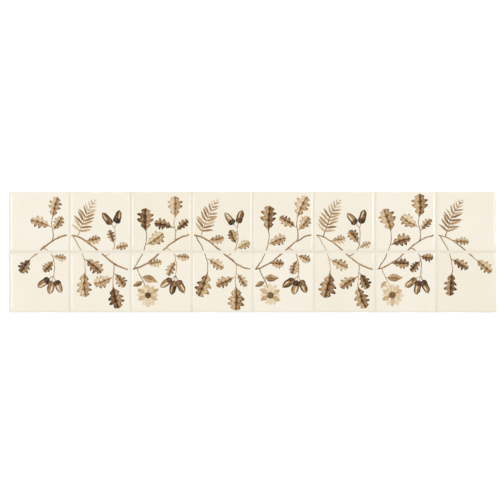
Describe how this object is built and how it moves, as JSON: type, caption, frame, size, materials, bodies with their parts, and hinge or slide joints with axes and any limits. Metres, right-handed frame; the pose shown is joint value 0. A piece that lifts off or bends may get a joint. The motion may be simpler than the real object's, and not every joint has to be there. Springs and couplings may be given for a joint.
{
  "type": "border tile panel",
  "caption": "Long flat wall border of square cream-glazed ceramic tiles with cushioned edges, laid edge to edge with tooled cream grout and a sepia leaf scroll across the faces.",
  "frame": {"origin": "middle of the panel's back, in the plane that the tile backs rest on", "axes": "+X along the border, +Y from the lower course to the upper one, +Z out of the glazed faces"},
  "size_m": [0.861, 0.213, 0.008],
  "materials": {
    "cream_glaze": "gloss",
    "cream_grout": "matte"
  },
  "bodies": {
    "root": {"tile_bottom_1": "cream_glaze", "tile_bottom_2": "cream_glaze", "tile_bottom_3": "cream_glaze", "tile_bottom_4": "cream_glaze", "tile_bottom_5": "cream_glaze", "tile_bottom_6": "cream_glaze", "tile_bottom_7": "cream_glaze", "tile_bottom_8": "cream_glaze", "tile_top_1": "cream_glaze", "tile_top_2": "cream_glaze", "tile_top_3": "cream_glaze", "tile_top_4": "cream_glaze", "tile_top_5": "cream_glaze", "tile_top_6": "cream_glaze", "tile_top_7": "cream_glaze", "tile_top_8": "cream_glaze", "grout": "cream_grout"}
  },
  "joints": []
}
